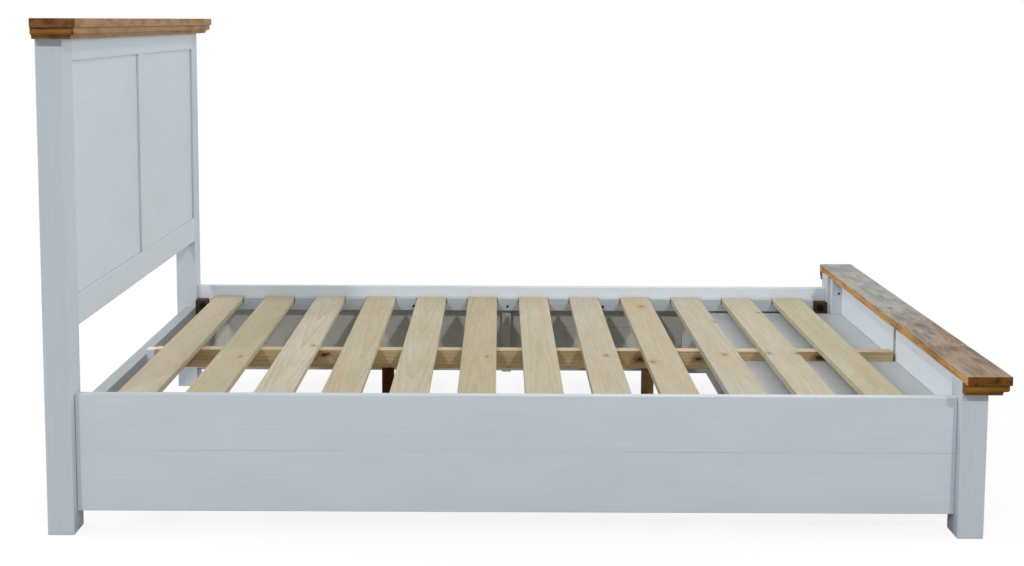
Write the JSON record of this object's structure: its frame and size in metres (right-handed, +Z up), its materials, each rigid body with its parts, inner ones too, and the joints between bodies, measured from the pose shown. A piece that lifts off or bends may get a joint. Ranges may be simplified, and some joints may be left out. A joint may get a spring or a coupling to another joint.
{
  "type": "storage bed",
  "caption": "Painted pine bed frame with a tall panelled headboard, a low footboard over sliding drawers, a slatted deck and waxed moulded caps.",
  "frame": {"origin": "on the floor under the middle of the bed's bounding box", "axes": "+X along the bed from the headboard to the foot, +Y across the bed to its right side, +Z up"},
  "size_m": [2.236, 1.734, 1.206],
  "materials": {
    "painted_pine": "cool white satin paint over wire-brushed pine",
    "waxed_pine": "brown wax over rustic knotty pine",
    "raw_pine": "planed, unfinished pine",
    "beam_pine": "planed pine with a thin brown stain",
    "dark_pine": "pine stained dark brown",
    "bay_board": "board painted pale grey",
    "black_steel": "blackened steel",
    "zinc_steel": "bright zinc plate on steel"
  },
  "bodies": {
    "bed_frame": {"headboard_post_left": "painted_pine", "headboard_post_right": "painted_pine", "headboard_top_rail": "painted_pine", "headboard_lower_rail": "painted_pine", "headboard_stile": "painted_pine", "headboard_panel_left": "painted_pine", "headboard_panel_right": "painted_pine", "headboard_base_rail": "painted_pine", "footboard_post_left": "painted_pine", "footboard_post_right": "painted_pine", "footboard_fascia_left": "painted_pine", "footboard_fascia_right": "painted_pine", "footboard_stile": "painted_pine", "footboard_bottom_rail": "painted_pine", "footboard_cleats": "painted_pine", "side_rail_left": "painted_pine", "side_rail_right": "painted_pine", "slat_ledger_left": "painted_pine", "slat_ledger_right": "painted_pine", "rail_battens": "painted_pine", "beam_hanger": "painted_pine", "headboard_cap_board": "waxed_pine", "headboard_cap_moulding": "waxed_pine", "footboard_cap_board": "waxed_pine", "footboard_cap_moulding": "waxed_pine", "slat_01": "raw_pine", "slat_02": "raw_pine", "slat_03": "raw_pine", "slat_04": "raw_pine", "slat_05": "raw_pine", "slat_06": "raw_pine", "slat_07": "raw_pine", "slat_08": "raw_pine", "slat_09": "raw_pine", "slat_10": "raw_pine", "slat_11": "raw_pine", "slat_12": "raw_pine", "centre_beam": "beam_pine", "beam_leg_foot": "beam_pine", "corner_blocks": "dark_pine", "beam_leg_head": "dark_pine", "bay_back": "bay_board", "bay_planks": "bay_board", "bay_divider": "bay_board", "dust_panel_left": "bay_board", "dust_panel_right": "bay_board", "bed_bolts": "black_steel", "runner_channels": "zinc_steel"},
    "drawer_left": {"drawer_left_front": "painted_pine", "drawer_left_sides": "raw_pine", "drawer_left_ends": "raw_pine", "drawer_left_bottom": "bay_board", "drawer_left_runners": "zinc_steel", "drawer_left_knobs": "waxed_pine"},
    "drawer_right": {"drawer_right_front": "painted_pine", "drawer_right_sides": "raw_pine", "drawer_right_ends": "raw_pine", "drawer_right_bottom": "bay_board", "drawer_right_runners": "zinc_steel", "drawer_right_knobs": "waxed_pine"}
  },
  "joints": [
    {"name": "drawer_left_slide", "type": "slide", "parent": "bed_frame", "child": "drawer_left", "axis": [1, 0, 0], "range_m": [0, 0.32]},
    {"name": "drawer_right_slide", "type": "slide", "parent": "bed_frame", "child": "drawer_right", "axis": [1, 0, 0], "range_m": [0, 0.32]}
  ]
}
